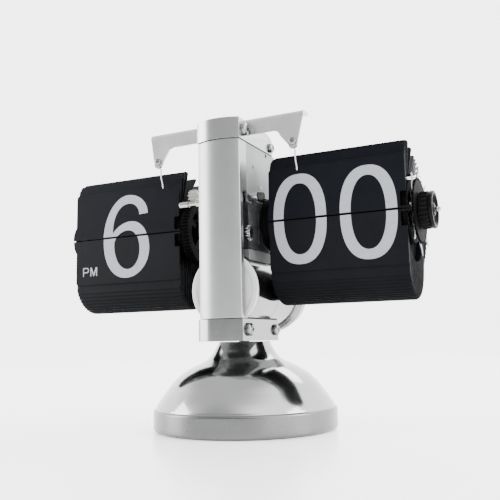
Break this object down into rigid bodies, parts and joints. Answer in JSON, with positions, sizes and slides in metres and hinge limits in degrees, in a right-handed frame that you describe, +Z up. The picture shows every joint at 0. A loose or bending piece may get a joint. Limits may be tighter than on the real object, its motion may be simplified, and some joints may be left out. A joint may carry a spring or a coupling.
{
  "type": "flip number clock",
  "caption": "Desk clock with an hour drum and a minute drum of flipping number leaves either side of a metal column on a round domed base.",
  "frame": {"origin": "centre of the base's underside, at the bottom of the base pad", "axes": "+X to the viewer's right along the drum axis, +Y to the back, +Z up"},
  "size_m": [0.2104, 0.095, 0.1595],
  "materials": {
    "base_dome": "polished",
    "base_pad": "matt",
    "base_weight": "rough",
    "base_bolt": "plain",
    "base_spacer": "plain",
    "screws": "polished",
    "bottom_collar": "polished",
    "column_front_cover": "satin",
    "column_upper_shell": "satin",
    "stop_posts": "polished",
    "stop_post_tip": "matt",
    "top_cap": "polished",
    "balance_beam": "satin",
    "wires": "bright",
    "battery_front_disc": "pale silver",
    "battery_housing": "polished",
    "battery_rear_cap": "satin",
    "battery_cell": "satin",
    "movement_chassis": "satin",
    "gearbox_front": "moulded",
    "gearbox_cover": "smoky translucent",
    "motor_can": "satin",
    "pale_gears": "moulded",
    "drive_pinion": "polished",
    "minute_pinion": "turned",
    "hour_ring_gear": "moulded",
    "main_axle": "ground",
    "hubs": "moulded",
    "star_spring": "bright",
    "setting_wheel": "bright",
    "knob": "moulded",
    "leaves": "matt"
  },
  "bodies": {
    "clock_frame": {"base_dome": "base_dome", "base_pad": "base_pad", "base_weight": "base_weight", "base_bolt": "base_bolt", "base_spacer": "base_spacer", "bottom_collar": "bottom_collar", "column_front_cover": "column_front_cover", "column_upper_shell": "column_upper_shell", "stop_post_tip": "stop_post_tip", "top_cap": "top_cap", "balance_beam": "balance_beam", "battery_front_disc": "battery_front_disc", "battery_housing": "battery_housing", "battery_cell": "battery_cell", "movement_chassis": "movement_chassis", "gearbox_front": "gearbox_front", "gearbox_cover": "gearbox_cover", "motor_can": "motor_can", "collar_screw_front_right": "screws", "collar_screw_front_left": "screws", "collar_screw_rear_right": "screws", "collar_screw_rear_left": "screws", "cap_screw_front_right": "screws", "cap_screw_front_left": "screws", "cap_screw_rear_right": "screws", "cap_screw_rear_left": "screws", "hour_finger_screw": "screws", "minute_finger_screw": "screws", "stop_post_left": "stop_posts", "stop_post_right": "stop_posts", "contact_spring": "wires", "hour_front_leaf": "leaves", "hour_upper_leaves": "leaves", "hour_lower_leaves": "leaves", "minute_front_leaf": "leaves", "minute_upper_leaves": "leaves", "minute_lower_leaves": "leaves"},
    "rear_cap": {"battery_rear_cap": "battery_rear_cap", "contact_plate": "wires"},
    "minute_drum": {"main_axle": "main_axle", "minute_hub": "hubs", "minute_gear": "pale_gears", "minute_pinion": "minute_pinion", "minute_star_spring": "star_spring", "minute_setting_wheel": "setting_wheel", "minute_knob": "knob"},
    "hour_drum": {"hour_hub": "hubs", "hour_ring_gear": "hour_ring_gear"},
    "idler": {"idler_gear": "pale_gears"},
    "pinion": {"drive_pinion": "drive_pinion"},
    "reduction": {"reduction_gear": "pale_gears"},
    "minute_leaf": {"minute_flip_leaf": "leaves"},
    "hour_leaf": {"hour_flip_leaf": "leaves"},
    "minute_wire": {"minute_finger": "wires"},
    "hour_wire": {"hour_finger": "wires"}
  },
  "joints": [
    {"name": "minute_drum_spin", "type": "hinge", "parent": "clock_frame", "child": "minute_drum", "pos_m": [0, 0.0065, 0.1062], "axis": [1, 0, 0], "continuous": true},
    {"name": "hour_drum_spin", "type": "hinge", "parent": "clock_frame", "child": "hour_drum", "pos_m": [0, 0.0065, 0.1062], "axis": [1, 0, 0], "continuous": true},
    {"name": "idler_spin", "type": "hinge", "parent": "clock_frame", "child": "idler", "pos_m": [0, -0.00987, 0.10411], "axis": [1, 0, 0], "continuous": true},
    {"name": "pinion_spin", "type": "hinge", "parent": "clock_frame", "child": "pinion", "pos_m": [0, -0.018, 0.0992], "axis": [1, 0, 0], "continuous": true},
    {"name": "reduction_spin", "type": "hinge", "parent": "clock_frame", "child": "reduction", "pos_m": [0, -0.00068, 0.12593], "axis": [1, 0, 0], "continuous": true},
    {"name": "minute_leaf_flip", "type": "hinge", "parent": "clock_frame", "child": "minute_leaf", "pos_m": [0, -0.0104, 0.1053], "axis": [1, 0, 0], "range_deg": [0, 178]},
    {"name": "hour_leaf_flip", "type": "hinge", "parent": "clock_frame", "child": "hour_leaf", "pos_m": [0, -0.0104, 0.1053], "axis": [1, 0, 0], "range_deg": [0, 178]},
    {"name": "minute_wire_flex", "type": "hinge", "parent": "clock_frame", "child": "minute_wire", "pos_m": [0, -0.0145, 0.1436], "axis": [-1, 0, 0], "range_deg": [0, 6], "stiffness_Nm_per_rad": 0.004, "springref_deg": -2.86},
    {"name": "hour_wire_flex", "type": "hinge", "parent": "clock_frame", "child": "hour_wire", "pos_m": [0, -0.0145, 0.1436], "axis": [-1, 0, 0], "range_deg": [0, 6], "stiffness_Nm_per_rad": 0.004, "springref_deg": -2.86},
    {"name": "rear_cap_off", "type": "slide", "parent": "clock_frame", "child": "rear_cap", "axis": [0, 1, 0], "range_m": [0, 0.03]}
  ],
  "couplings": [
    {"joint": "hour_drum_spin", "follows": "minute_drum_spin", "ratio": 0.041667},
    {"joint": "idler_spin", "follows": "minute_drum_spin", "ratio": -1.3571},
    {"joint": "pinion_spin", "follows": "minute_drum_spin", "ratio": 3.8},
    {"joint": "reduction_spin", "follows": "minute_drum_spin", "ratio": -0.25}
  ]
}
